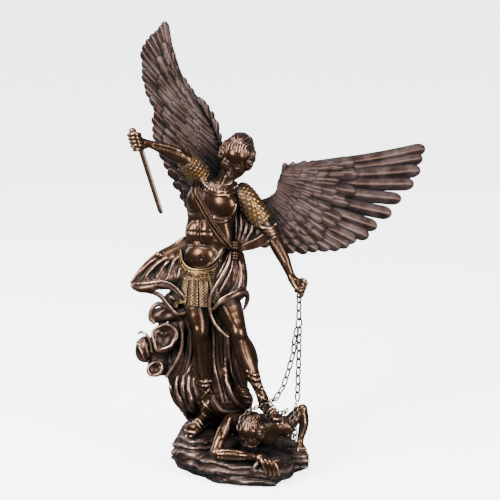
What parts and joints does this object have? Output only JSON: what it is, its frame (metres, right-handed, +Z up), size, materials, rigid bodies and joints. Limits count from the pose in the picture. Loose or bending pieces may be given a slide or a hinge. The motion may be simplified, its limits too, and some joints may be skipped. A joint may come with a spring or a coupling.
{
  "type": "archangel statuette",
  "caption": "Winged archangel in moulded armour standing on a rock over a fallen foe, blade raised in one hand and a chain hanging from the other.",
  "frame": {"origin": "on the underside of the rock, near its middle, at the height of the surface it stands on", "axes": "+Z up through the figure; -Y is the side that the figure faces; +X is towards the spread wing"},
  "size_m": [0.2395, 0.0991, 0.3665],
  "materials": {
    "bronze": "cold-cast bronze: dark brown patina in the hollows, rubbed bright on the high places",
    "wing_bronze": "cold-cast bronze with a blue-black patina between the feathers",
    "blade_metal": "plain cold-cast bronze, dull brown",
    "chain_metal": "browned steel wire"
  },
  "bodies": {
    "root": {"figure": "bronze", "wing_raised": "wing_bronze", "wing_spread": "wing_bronze", "sword": "blade_metal", "chain_link_01": "chain_metal", "chain_link_02": "chain_metal", "chain_link_03": "chain_metal", "chain_link_04": "chain_metal", "chain_link_05": "chain_metal", "chain_link_06": "chain_metal", "chain_link_07": "chain_metal", "chain_link_08": "chain_metal", "chain_link_09": "chain_metal", "chain_link_10": "chain_metal", "chain_link_11": "chain_metal", "chain_link_12": "chain_metal", "chain_link_13": "chain_metal", "chain_link_14": "chain_metal", "chain_link_15": "chain_metal", "chain_link_16": "chain_metal", "chain_link_17": "chain_metal", "chain_link_18": "chain_metal", "chain_link_19": "chain_metal", "chain_link_20": "chain_metal", "chain_link_21": "chain_metal", "chain_link_22": "chain_metal"}
  },
  "joints": []
}
